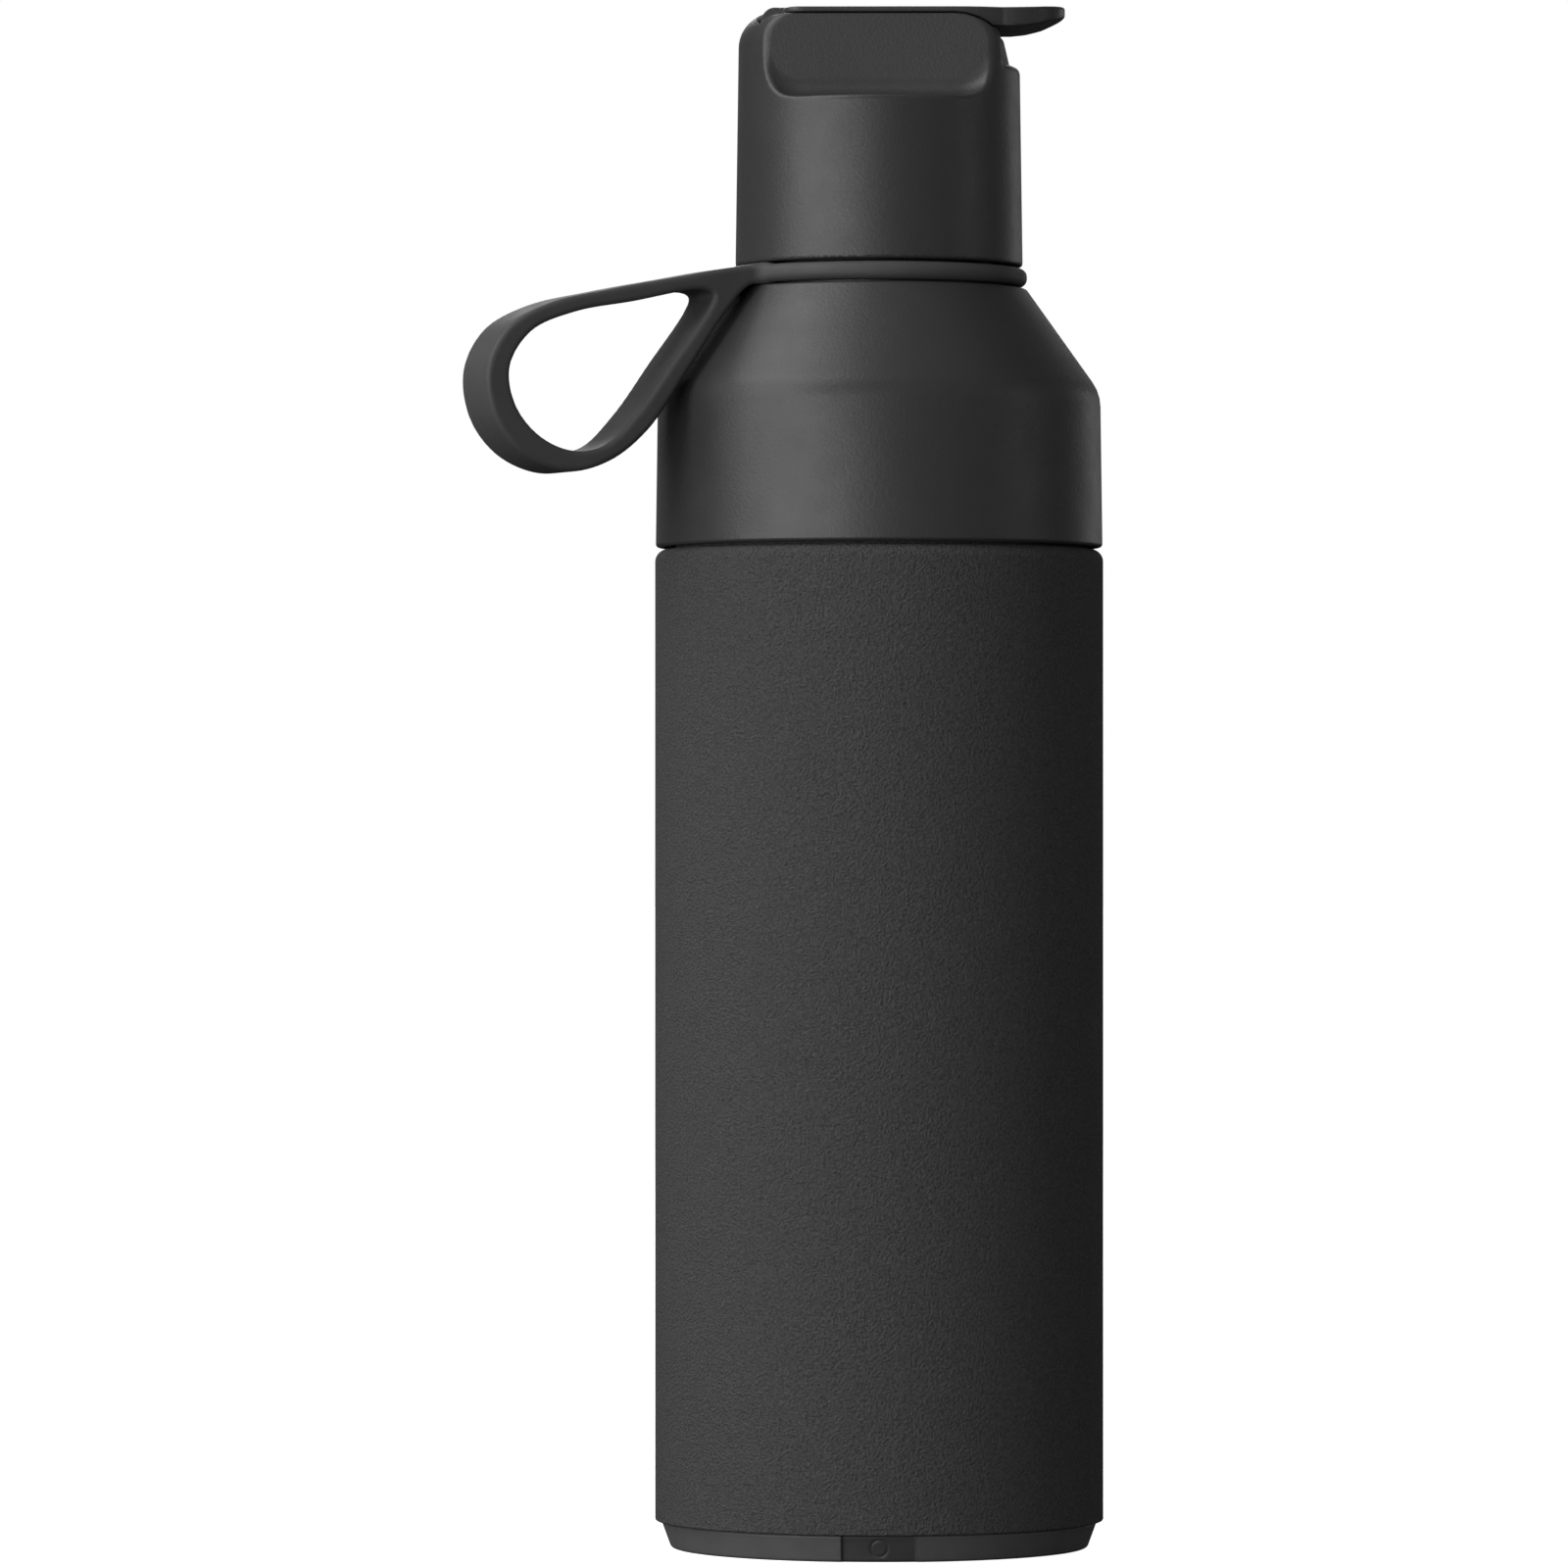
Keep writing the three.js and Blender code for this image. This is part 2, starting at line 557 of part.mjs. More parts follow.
place('outer_shell', outerShell(), 'powder_coat');
place('bottom_plate', bottomPlate(), 'steel');
place('sealing_plug', sealingPlug(), 'steel');
place('inner_flask', innerFlask(), 'steel');
place('getter', getter(), 'steel');
place('base_boot', baseBoot(), 'boot_rubber');
place('collar_shell', collarShell(), 'satin_black');
place('collar_core', collarCore(), 'inner_plastic');
place('collar_seal', collarSeal(), 'clear_seal');
place('strap_ring', strapRing(), 'silicone');
place('strap_loop', strapLoop(), 'silicone');
place('cap_shell', capShell(), 'satin_black');
place('cap_core', capCore(), 'inner_plastic');
place('cap_seal', capSeal(), 'clear_seal');
place('spout', spout(), 'inner_plastic');
place('flip_lid', flipLid(), 'satin_black');
place('lid_liner', lidLiner(), 'inner_plastic');
place('mouth_plug', lidPlug(MOUTH_HOLE_X, MOUTH_HOLE_R - 0.4, DECK_TOP - 2.3), 'clear_seal');
place('vent_plug', lidPlug(VENT_X, VENT_R - 0.5, DECK_TOP - 1), 'clear_seal');
place('hinge_pin', hingePin(), 'steel');

export default bottle;
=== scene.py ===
"""Looks of the insulated water bottle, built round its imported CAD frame.

Shapes are worked out in millimetres and become metres when a mesh is made. Turned pieces come
from a profile, and the cap, lid, spout and strap from distance functions with rounded edges."""
import json
import math

import bmesh
import bpy
import numpy as np
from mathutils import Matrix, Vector


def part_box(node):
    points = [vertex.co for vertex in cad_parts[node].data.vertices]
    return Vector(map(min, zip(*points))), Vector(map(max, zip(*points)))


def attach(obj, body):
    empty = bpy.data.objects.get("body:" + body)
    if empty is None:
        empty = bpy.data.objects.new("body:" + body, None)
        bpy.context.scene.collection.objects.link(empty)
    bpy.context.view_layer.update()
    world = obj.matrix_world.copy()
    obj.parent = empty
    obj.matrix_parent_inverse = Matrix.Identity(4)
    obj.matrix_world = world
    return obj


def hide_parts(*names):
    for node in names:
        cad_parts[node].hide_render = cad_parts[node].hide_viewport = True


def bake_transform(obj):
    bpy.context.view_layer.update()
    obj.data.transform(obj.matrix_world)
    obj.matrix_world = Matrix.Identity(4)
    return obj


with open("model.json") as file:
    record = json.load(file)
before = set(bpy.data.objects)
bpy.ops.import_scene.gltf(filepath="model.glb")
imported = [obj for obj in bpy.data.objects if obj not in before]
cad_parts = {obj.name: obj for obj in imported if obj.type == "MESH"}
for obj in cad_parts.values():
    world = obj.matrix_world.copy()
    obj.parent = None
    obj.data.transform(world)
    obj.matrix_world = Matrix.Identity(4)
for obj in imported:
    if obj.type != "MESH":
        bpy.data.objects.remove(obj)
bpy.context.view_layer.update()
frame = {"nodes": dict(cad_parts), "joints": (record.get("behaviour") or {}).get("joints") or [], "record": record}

MM = 0.001
AROUND = 192  # columns round a turned piece


def box_mm(node):
    """A node's lowest and highest corners, in millimetres."""
    low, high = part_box(node)
    return Vector(low) / MM, Vector(high) / MM


# ---- Sizes shared by the pieces, most of them from the frame -------------------------------
shell_low, shell_high = box_mm("outer_shell")
BODY_R = shell_high.x
boot_high = box_mm("base_boot")[1]
inner_low, inner_high = box_mm("inner_flask")
collar_low, collar_high = box_mm("collar_shell")
core_low, core_high = box_mm("collar_core")
cap_low, cap_high = box_mm("cap_shell")
cap_core_low, cap_core_high = box_mm("cap_core")
spout_low, spout_high = box_mm("spout")
lid_low, lid_high = box_mm("flip_lid")
liner_low, liner_high = box_mm("lid_liner")
pin_high = box_mm("hinge_pin")[1]

PANEL_HALF = 6.15  # half width of the panel on the front of the boot
STEEL_NECK_R = 33.0  # root of the flask's thread
SEAM_DROP = 0.3  # how far the seam between flask and collar lies below the CAD edges
CAP_DROP = 0.2  # how far the cap's lower edge lies below the CAD edge
JOINTS = {joint["name"]: joint for joint in frame["joints"]}


# ---- Meshes --------------------------------------------------------------------------------
def mesh_object(name, points, faces, normals=None):
    """A smooth-shaded object from points in millimetres, with normals of its own if given."""
    mesh = bpy.data.meshes.new(name)
    mesh.from_pydata((np.asarray(points) * MM).tolist(), [], np.asarray(faces).tolist())
    mesh.polygons.foreach_set("use_smooth", np.ones(len(mesh.polygons), bool))
    if normals is not None:
        mesh.normals_split_custom_set_from_vertices(normals.tolist())
    obj = bpy.data.objects.new(name, mesh)
    bpy.context.scene.collection.objects.link(obj)
    return obj


def rounded(corners):
    """A closed profile through corners (r, z, radius), each corner rounded by its radius."""
    result = []
    count = len(corners)
    for i, (r, z, radius) in enumerate(corners):
        here = np.array([r, z])
        if radius == 0:
            result.append(here)
            continue
        to_last = np.array(corners[i - 1][:2]) - here
        to_next = np.array(corners[(i + 1) % count][:2]) - here
        to_last /= np.linalg.norm(to_last)
        to_next /= np.linalg.norm(to_next)
        half = math.acos(np.clip(to_last @ to_next, -1, 1)) / 2
        middle = (to_last + to_next) / np.linalg.norm(to_last + to_next)
        centre = here + middle * radius / math.sin(half)
        start = here + to_last * radius / math.tan(half) - centre
        end = here + to_next * radius / math.tan(half) - centre
        turn = math.pi - 2 * half
        steps = max(2, math.ceil(turn / math.radians(12)))
        for k in range(steps + 1):
            share = k / steps
            spoke = start * math.sin(turn * (1 - share)) + end * math.sin(turn * share)
            result.append(centre + spoke / math.sin(turn))
    return np.array(result)


def divided(profile, longest, low=-1e9, high=1e9):
    """The profile with no step longer than this between two heights."""
    result = []
    for here, after in zip(profile, np.roll(profile, -1, axis=0)):
        result.append(here)
        inside = low <= min(here[1], after[1]) and max(here[1], after[1]) <= high
        parts = math.ceil(np.linalg.norm(after - here) / longest) if inside else 1
        result += [here + (after - here) * k / parts for k in range(1, parts)]
    return np.array(result)


def turned(name, profile, angles=None, form=None, centre_x=0.0):
    """A closed profile of (r, z) turned round Z. form(r, z, angle) may change the radius."""
    if angles is None:
        angles = np.arange(AROUND) * 2 * math.pi / AROUND
    r, angle = np.meshgrid(profile[:, 0], angles, indexing="ij")
    z = np.repeat(profile[:, 1:2], len(angles), axis=1)
    if form is not None:
        r = form(r, z, angle)
    points = np.stack([centre_x + r * np.cos(angle), r * np.sin(angle), z], -1).reshape(-1, 3)
    rows, columns = r.shape
    i, j = np.meshgrid(np.arange(rows), np.arange(columns), indexing="ij")
    down, right = (i + 1) % rows, (j + 1) % columns
    corners = [(i, j), (i, right), (down, right), (down, j)]
    faces = np.stack([a * columns + b for a, b in corners], -1).reshape(-1, 4)
    obj = mesh_object(name, points, faces)
    body = bmesh.new()
    body.from_mesh(obj.data)
    bmesh.ops.remove_doubles(body, verts=body.verts, dist=1e-7)
    bmesh.ops.dissolve_degenerate(body, edges=body.edges, dist=1e-7)
    bmesh.ops.recalc_face_normals(body, faces=body.faces)
    body.to_mesh(obj.data)
    body.free()
    obj.data.set_sharp_from_angle(angle=math.radians(40))
    weighted = obj.modifiers.new("weighted normals", "WEIGHTED_NORMAL")
    weighted.keep_sharp = True
    return obj


def thread(wall_r, crest_r, start, pitch=4.0, root=2.0, crest=1.0):
    """One turn of a right-hand thread, as a change of radius on the wall behind it."""
    def form(r, z, angle):
        along = (angle % (2 * math.pi)) / (2 * math.pi)
        run_out = np.clip(np.minimum(along, 1 - along) / 0.08, 0, 1)
        off = np.abs(z - start - pitch * along)
        flank = np.clip((root / 2 - off) / ((root - crest) / 2), 0, 1)
        height = (3 * flank**2 - 2 * flank**3) * run_out
        on_wall = np.abs(r - wall_r) < 0.01
        return np.where(on_wall, r + (crest_r - wall_r) * height, r)
    return form


def both(first, second):
    return lambda r, z, angle: second(first(r, z, angle), z, angle)


# ---- Distance functions --------------------------------------------------------------------
def cut_round(a, b, radius):
    """What lies in both a and b, with the edge between them rounded."""
    corner = np.hypot(np.maximum(a + radius, 0), np.maximum(b + radius, 0))
    return np.minimum(np.maximum(a, b), -radius) + corner


def join_round(a, b, radius):
    """What lies in a or b, with the inner corner between them filled round."""
    return -cut_round(-a, -b, radius)


def outline_distance(x, y, outline):
    """Signed distance from points to a closed outline, negative inside."""
    nearest = np.full(x.shape, 1e9)
    inside = np.zeros(x.shape, bool)
    for (x0, y0), (x1, y1) in zip(outline, np.roll(outline, -1, axis=0)):
        dx, dy = x1 - x0, y1 - y0
        share = np.clip(((x - x0) * dx + (y - y0) * dy) / (dx * dx + dy * dy), 0, 1)
        squared = (x - x0 - share * dx) ** 2 + (y - y0 - share * dy) ** 2
        nearest = np.minimum(nearest, squared)
        if y0 != y1:
            crosses = ((y0 > y) != (y1 > y)) & (x < (y - y0) * dx / dy + x0)
            inside ^= crosses
    return np.where(inside, -1, 1) * np.sqrt(nearest)


def slope_of(distance, points, reach=0.01):
    """The slope of a distance function along x, y and z at each point."""
    columns = []
    for axis in range(3):
        shift = np.zeros(3)
        shift[axis] = reach
        columns.append(distance(points + shift) - distance(points - shift))
    return np.stack(columns, -1) / (2 * reach)


def surface(name, distance, low, high, step, own_normals=True):
    """The zero surface of a distance function: one point per crossed cell, moved onto it."""
    axes = [np.arange(a, b + step, step) for a, b in zip(low, high)]
    grid = np.stack(np.meshgrid(*axes, indexing="ij"), -1)
    value = distance(grid.reshape(-1, 3)).reshape(grid.shape[:3])
    cells = np.array(value.shape) - 1
    total = np.zeros((*cells, 3))
    count = np.zeros(cells)
    crossings = []
    for axis in range(3):
        near = [slice(None)] * 3
        far = [slice(None)] * 3
        near[axis], far[axis] = slice(0, -1), slice(1, None)
        a, b = value[tuple(near)], value[tuple(far)]
        crossed = (a < 0) != (b < 0)
        point = grid[tuple(near)].copy()
        point[..., axis] += np.where(crossed, a / np.where(crossed, a - b, 1), 0) * step
        point *= crossed[..., None]
        first, second = (axis + 1) % 3, (axis + 2) % 3
        for p in (0, 1):
            for q in (0, 1):
                part = [slice(None)] * 3
                part[first] = slice(p, p + cells[first])
                part[second] = slice(q, q + cells[second])
                total += point[tuple(part)]
                count += crossed[tuple(part)]
        crossings.append((axis, first, second, crossed, a < 0))
    active = count > 0
    number = np.full(cells, -1)
    number[active] = np.arange(active.sum())
    points = total[active] / count[active][:, None]
    faces = []
    for axis, first, second, crossed, outward in crossings:
        at = np.argwhere(crossed)
        inner = (at[:, first] > 0) & (at[:, first] < cells[first])
        inner &= (at[:, second] > 0) & (at[:, second] < cells[second])
        at = at[inner]
        quad = []
        for p, q in ((1, 1), (0, 1), (0, 0), (1, 0)):
            cell = at.copy()
            cell[:, first] -= p
            cell[:, second] -= q
            quad.append(number[tuple(cell.T)])
        quad = np.stack(quad, -1)
        flip = ~outward[tuple(at.T)]
        quad[flip] = quad[flip][:, ::-1]
        faces.append(quad)
    for _ in range(4):
        slope = slope_of(distance, points)
        length = np.maximum((slope**2).sum(-1), 0.25)
        move = (distance(points) / length)[:, None] * slope
        reach = np.linalg.norm(move, axis=-1, keepdims=True)
        points -= move * np.minimum(1, step / np.maximum(reach, 1e-9))
    slope = slope_of(distance, points)
    normals = slope / np.maximum(np.linalg.norm(slope, axis=-1, keepdims=True), 1e-9)
    return mesh_object(name, points, np.concatenate(faces), normals if own_normals else None)


# ---- Materials -----------------------------------------------------------------------------
class Finish:
    """A Principled material whose colour, roughness and bump come from noise in millimetres."""

    def __init__(self, name, **settings):
        self.material = bpy.data.materials.new(name)
        self.material.use_nodes = True
        self.tree = self.material.node_tree
        self.shader = self.tree.nodes["Principled BSDF"]
        for socket, value in settings.items():
            self.shader.inputs[socket.replace("_", " ")].default_value = value
        coordinates = self.tree.nodes.new("ShaderNodeTexCoord")
        self.place = self.tree.nodes.new("ShaderNodeMapping")
        self.place.inputs["Scale"].default_value = (1 / MM,) * 3
        self.tree.links.new(coordinates.outputs["Object"], self.place.inputs["Vector"])
        self.normal = None

    def noise(self, size, detail=3.0, stretch=(1, 1, 1), roughness=0.5):
        where = self.place.outputs["Vector"]
        if stretch != (1, 1, 1):
            shape = self.tree.nodes.new("ShaderNodeMapping")
            shape.inputs["Scale"].default_value = stretch
            self.tree.links.new(where, shape.inputs["Vector"])
            where = shape.outputs["Vector"]
        node = self.tree.nodes.new("ShaderNodeTexNoise")
        node.inputs["Scale"].default_value = 1 / size
        node.inputs["Detail"].default_value = detail
        node.inputs["Roughness"].default_value = roughness
        self.tree.links.new(where, node.inputs["Vector"])
        return node.outputs["Fac"]

    def ramp(self, value, low, high, ends=(0.3, 0.7)):
        node = self.tree.nodes.new("ShaderNodeMapRange")
        node.inputs["From Min"].default_value, node.inputs["From Max"].default_value = ends
        node.inputs["To Min"].default_value, node.inputs["To Max"].default_value = low, high
        self.tree.links.new(value, node.inputs["Value"])
        return node.outputs["Result"]

    def combine(self, operation, first, second=0.0):
        """A socket combined with a number or another socket."""
        node = self.tree.nodes.new("ShaderNodeMath")
        node.operation = operation
        self.tree.links.new(first, node.inputs[0])
        if isinstance(second, float):
            node.inputs[1].default_value = second
        else:
            self.tree.links.new(second, node.inputs[1])
        return node.outputs["Value"]

    def colours(self, value, first, second, ends=(0.3, 0.7)):
        node = self.tree.nodes.new("ShaderNodeValToRGB")
        node.color_ramp.elements[0].color = (*first, 1)
        node.color_ramp.elements[1].color = (*second, 1)
        self.tree.links.new(self.ramp(value, 0.0, 1.0, ends), node.inputs["Fac"])
        self.tree.links.new(node.outputs["Color"], self.shader.inputs["Base Color"])

    def rough(self, value, low, high):
        self.tree.links.new(self.ramp(value, low, high), self.shader.inputs["Roughness"])

    def bump(self, height, depth, strength=1.0):
        node = self.tree.nodes.new("ShaderNodeBump")
        node.inputs["Distance"].default_value = depth * MM
        node.inputs["Strength"].default_value = strength
        self.tree.links.new(height, node.inputs["Height"])
        if self.normal is not None:
            self.tree.links.new(self.normal, node.inputs["Normal"])
        self.normal = node.outputs["Normal"]
        self.tree.links.new(self.normal, self.shader.inputs["Normal"])


def grey(level):
    return (level, level, level)


def powder_coat():
    """A matt coat with a fine pebbled grain. Its colour follows the grain's height: painted lighter on the high
    spots and darker in the pits, a painted shade and highlight over the bumps.
    """
    finish = Finish("powder_coat", IOR=1.45, Specular_IOR_Level=0.06)
    grain_and_painted_pit_shade = finish.noise(0.42, detail=3, roughness=0.6)
    # The same noise sets the colour and the bump, so the colour is partly random grain tone and partly painted
    # shade in the pits with painted highlight on the high spots.
    finish.colours(grain_and_painted_pit_shade, grey(0.042), grey(0.100), ends=(0.2, 0.72))
    finish.rough(finish.noise(9), 0.70, 0.78)
    finish.bump(finish.noise(1.3, detail=2), 0.12, 0.6)
    finish.bump(grain_and_painted_pit_shade, 0.8)
    return finish.material


def satin(name, level, low, high, depth):
    """Smooth moulded plastic, of roughness low to high, with a fine grain of this depth."""
    finish = Finish(name, IOR=1.47)
    finish.colours(finish.noise(14), grey(level * 0.94), grey(level * 1.06))
    finish.rough(finish.noise(5, detail=4), low, high)
    finish.bump(finish.noise(0.5, detail=3), depth)
    return finish.material


def silicone():
    finish = Finish("silicone", IOR=1.42, Specular_IOR_Level=0.3)
    finish.colours(finish.noise(7), grey(0.058), grey(0.066))
    finish.rough(finish.noise(3, detail=4), 0.54, 0.64)
    finish.bump(finish.noise(0.3, detail=2), 0.006)
    return finish.material


def rubber(panel_half):
    """Smooth rubber, a shade darker on the boot's front panel."""
    finish = Finish("boot_rubber", IOR=1.45)
    where = finish.tree.nodes.new("ShaderNodeSeparateXYZ")
    finish.tree.links.new(finish.place.outputs["Vector"], where.inputs["Vector"])
    aside = finish.combine("ABSOLUTE", where.outputs["X"])
    between = finish.combine("LESS_THAN", aside, panel_half)
    in_front = finish.combine("LESS_THAN", where.outputs["Y"], -30.0)
    panel = finish.combine("MULTIPLY", between, in_front)
    shade = finish.combine("ADD", finish.noise(6), finish.combine("MULTIPLY", panel, -1.0))
    finish.colours(shade, grey(0.052), grey(0.102), ends=(-0.5, 0.6))
    finish.rough(finish.noise(2, detail=4), 0.46, 0.58)
    finish.bump(finish.noise(0.35, detail=3), 0.012)
    return finish.material


def clear_seal():
    finish = Finish("clear_seal", IOR=1.41, Transmission_Weight=0.35,
                    Subsurface_Weight=0.2, Subsurface_Scale=0.002)
    finish.colours(finish.noise(4), grey(0.55), grey(0.66))
    finish.rough(finish.noise(2, detail=4), 0.36, 0.48)
    finish.bump(finish.noise(0.5), 0.004)
    return finish.material


def steel():
    """Steel with fine turning lines round the bottle's axis."""
    finish = Finish("steel", Metallic=1.0)
    lines = finish.noise(0.6, detail=4, stretch=(1, 1, 14))
    finish.colours(lines, grey(0.48), grey(0.60))
    finish.rough(lines, 0.22, 0.34)
    finish.bump(lines, 0.004)
    return finish.material


MATERIALS = {
    "powder_coat": powder_coat(),
    "satin_black": satin("satin_black", 0.031, 0.40, 0.46, 0.05),
    "inner_plastic": satin("inner_plastic", 0.024, 0.40, 0.50, 0.008),
    "silicone": silicone(),
    "boot_rubber": rubber(PANEL_HALF),
    "clear_seal": clear_seal(),
    "steel": steel(),
}


def finish_piece(obj, slot, body, *nodes):
    """Gives a piece its material, the CAD body it rides on, and the CAD nodes it stands for."""
    obj.data.materials.clear()
    obj.data.materials.append(MATERIALS[slot])
    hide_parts(*nodes)
    if body is not None:
        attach(obj, body)
    return obj


# ---- The flask -----------------------------------------------------------------------------
def flask_skin():
    """The coated outer shell. Its coat runs on to the neck, so no bare steel shows below."""
    wall, edge_r, shoulder_r = 0.8, 0.3, 2.0
    low, high = shell_low.z, shell_high.z - SEAM_DROP
    neck_r, neck_coat = STEEL_NECK_R + 0.03, 0.12
    profile = rounded([
        (BODY_R - wall, low, 0), (BODY_R, low, edge_r), (BODY_R, high, shoulder_r),
        (neck_r + neck_coat, high, 0.2), (neck_r + neck_coat, high + 0.7, 0),
        (neck_r, high + 0.7, 0), (neck_r, high - wall, 0), (BODY_R - wall, high - wall, 1.2),
    ])
    return turned("flask_skin", divided(profile, 8))


def inner_flask():
    wall = 0.8
    neck_r = STEEL_NECK_R
    inside = neck_r - wall
    mouth_r = neck_r - 1.4
    low, high = inner_low.z, inner_high.z
    profile = rounded([
        (0, low, 0), (neck_r, low, 6), (neck_r, high, 0.5), (mouth_r, high, 0.5),
        (mouth_r, shell_high.z - 3, 1), (inside, shell_high.z - 6, 1), (inside, low + wall, 5.2),
        (0, low + wall, 0),
    ])
    start = shell_high.z + 3.3
    profile = divided(profile, 0.25, start - 2, start + 6)
    return turned("inner_flask_fine", divided(profile, 8), form=thread(neck_r, neck_r + 1, start))


def base_boot():
    """The rubber boot, with its front panel sunk a little and a plain ring moulded in it."""
    top = shell_low.z - 0.05
    foot_r, top_r = 33.9, 35.5
    half, depth, edge = PANEL_HALF, 0.5, 0.4
    wall_r, skin_r = 35.0, 31.0  # about the wall's radius, and where its outer side begins
    ring_r, ring_width, ring_depth = 1.35, 0.28, 0.16
    ring_z = top * 0.52
    profile = rounded([
        (0, 0.6, 0), (26, 0.6, 0.5), (26.6, 0, 0.4), (foot_r, 0, 0.8), (top_r, top, 0.35),
        (29.8, top, 0.4), (27.3, boot_high.z, 0.5), (0, boot_high.z, 0),
    ])
    profile = divided(profile, 0.13, 0.5, top - 0.2)

    across = [np.arange(-2.0, 2.01, 0.13)]
    across += [sign * np.linspace(half - edge - 0.1, half + 0.1, 8) for sign in (-1, 1)]
    near = np.arcsin(np.concatenate(across) / wall_r)
    evenly = np.arange(AROUND) * 2 * math.pi / AROUND - math.pi
    far = evenly[np.min(np.abs(evenly[:, None] - near[None, :]), axis=1) > 0.012]
    angles = np.sort(np.concatenate([near, far])) - math.pi / 2

    def form(r, z, angle):
        side = r * np.cos(angle)
        front = (np.sin(angle) < 0) & (r > skin_r)
        into = np.clip((half - np.abs(side)) / edge, 0, 1)
        sunk = depth * (3 * into**2 - 2 * into**3)
        off = np.abs(np.hypot(side, z - ring_z) - ring_r)
        mark = ring_depth * np.clip(1 - (off / ring_width) ** 2, 0, 1)
        outer = np.clip(r - skin_r, 0, 1)
        return np.where(front, r - (sunk + mark) * outer, r)

    return turned("base_boot_fine", profile, angles=angles, form=form)


# ---- The collar ----------------------------------------------------------------------------
def collar_shell():
    wall = 1.1
    low, high = collar_low.z - SEAM_DROP, collar_high.z
    outer_r = collar_high.x
    wall_top_r, wall_top_z = outer_r - 0.34, low + 25.1
    rim_r, throat_r = 23.98, 20.75
    profile = rounded([
        (outer_r, low, 0.6), (wall_top_r, wall_top_z, 7), (rim_r, high, 0.8),
        (throat_r, high, 0.25), (throat_r, high - 1.2, 0.2), (rim_r - 0.6, high - 1.2, 0.3),
        (wall_top_r - wall, wall_top_z - 0.4, 6), (outer_r - wall, low, 0.2),
    ])
    return turned("collar_shell_fine", divided(profile, 6))


def collar_core():
    low, high = core_low.z, core_high.z
    thread_r, shoulder_z = 34.3, inner_high.z + 2
    mouth_out, mouth_in = 18.6, 16.6
    neck_r, neck_z = 20.4, cap_low.z - 0.3
    profile = rounded([
        (thread_r, low, 0), (35.0, low, 0.3), (34.7, 185.4, 2), (33.3, 189, 2),
        (23.2, collar_high.z - 1.6, 0.3), (neck_r, collar_high.z - 1.5, 0),
        (neck_r, neck_z, 0.4), (mouth_out, neck_z, 0.3), (mouth_out, high, 0.7),
        (mouth_in, high, 0.9), (mouth_in, 208.5, 3), (31.4, 187, 3), (31.4, shoulder_z, 0.5),
        (thread_r, shoulder_z, 0),
    ])
    neck_start, wide_start = 213.0, shell_high.z + 1.3
    profile = divided(profile, 0.25, neck_start - 1.5, neck_start + 5.5)
    profile = divided(profile, 0.25, low + 0.1, wide_start + 5.5)
    threads = both(
        thread(mouth_out, mouth_out + 1.1, neck_start), thread(thread_r, thread_r - 1, wide_start)
    )
    return turned("collar_core_fine", profile, form=threads)


# ---- The cap -------------------------------------------------------------------------------
SEAT_Z = liner_high.z  # top of the housing, under the lid
DECK_TOP = spout_high.z
PIVOT = Vector(JOINTS["lid_hinge"]["pos_m"]) / MM
KNUCKLE_R = cap_high.z - PIVOT.z
LUG_HALF = 5.0  # the housing's middle lug
KNUCKLE_HALF = 9.5  # outer ends of the lid's two knuckles
PIN_HOLE_R = pin_high.x - PIVOT.x + 0.3
OPENING = math.radians(JOINTS["lid_hinge"]["range_deg"][1])
LID_GAP = 0.3
BEND_X, BEND_R, BEND_DROP = 12.0, 10.4, 2.2  # where the lid's underside curves down
WINDOW_HALF = spout_high.y + LID_GAP
WINDOW_BACK = spout_low.x - LID_GAP
FRONT_TOP = 240.9
MOUTH_X = sum(corner.x for corner in box_mm("mouth_plug")) / 2
VENT_X = sum(corner.x for corner in box_mm("vent_plug")) / 2


def above_seat(x, z, drop=0.0):
    """Height over the housing's seat, which is level and then curves down towards the tab."""
    bend = np.clip(x - BEND_X, 0, math.sqrt(2 * BEND_R * BEND_DROP - BEND_DROP**2))
    fall = BEND_R - np.sqrt(BEND_R**2 - bend**2)
    return z - (SEAT_Z - drop - fall)


def rod_distance(x, y, z, radius, half):
    """A rod on the hinge's axis."""
    return np.maximum(np.hypot(x - PIVOT.x, z - PIVOT.z) - radius, np.abs(y) - half)


def hinge_slots(x, y, z):
    """The room that the lid's knuckles need as they turn, on both sides of the middle lug."""
    reach = KNUCKLE_R + LID_GAP
    lean = OPENING + math.pi / 2
    right, up = x - PIVOT.x, z - PIVOT.z
    over = right * math.cos(lean) + up * math.sin(lean)
    along = up * math.cos(lean) - right * math.sin(lean)
    swing = np.maximum(np.maximum(over - reach, -over), along)
    swing = np.maximum(swing, right)
    turn = np.minimum(swing, np.hypot(right, up) - reach)
    sides = np.maximum(np.abs(y) - KNUCKLE_HALF - LID_GAP, LUG_HALF - np.abs(y))
    return np.maximum(turn, sides)


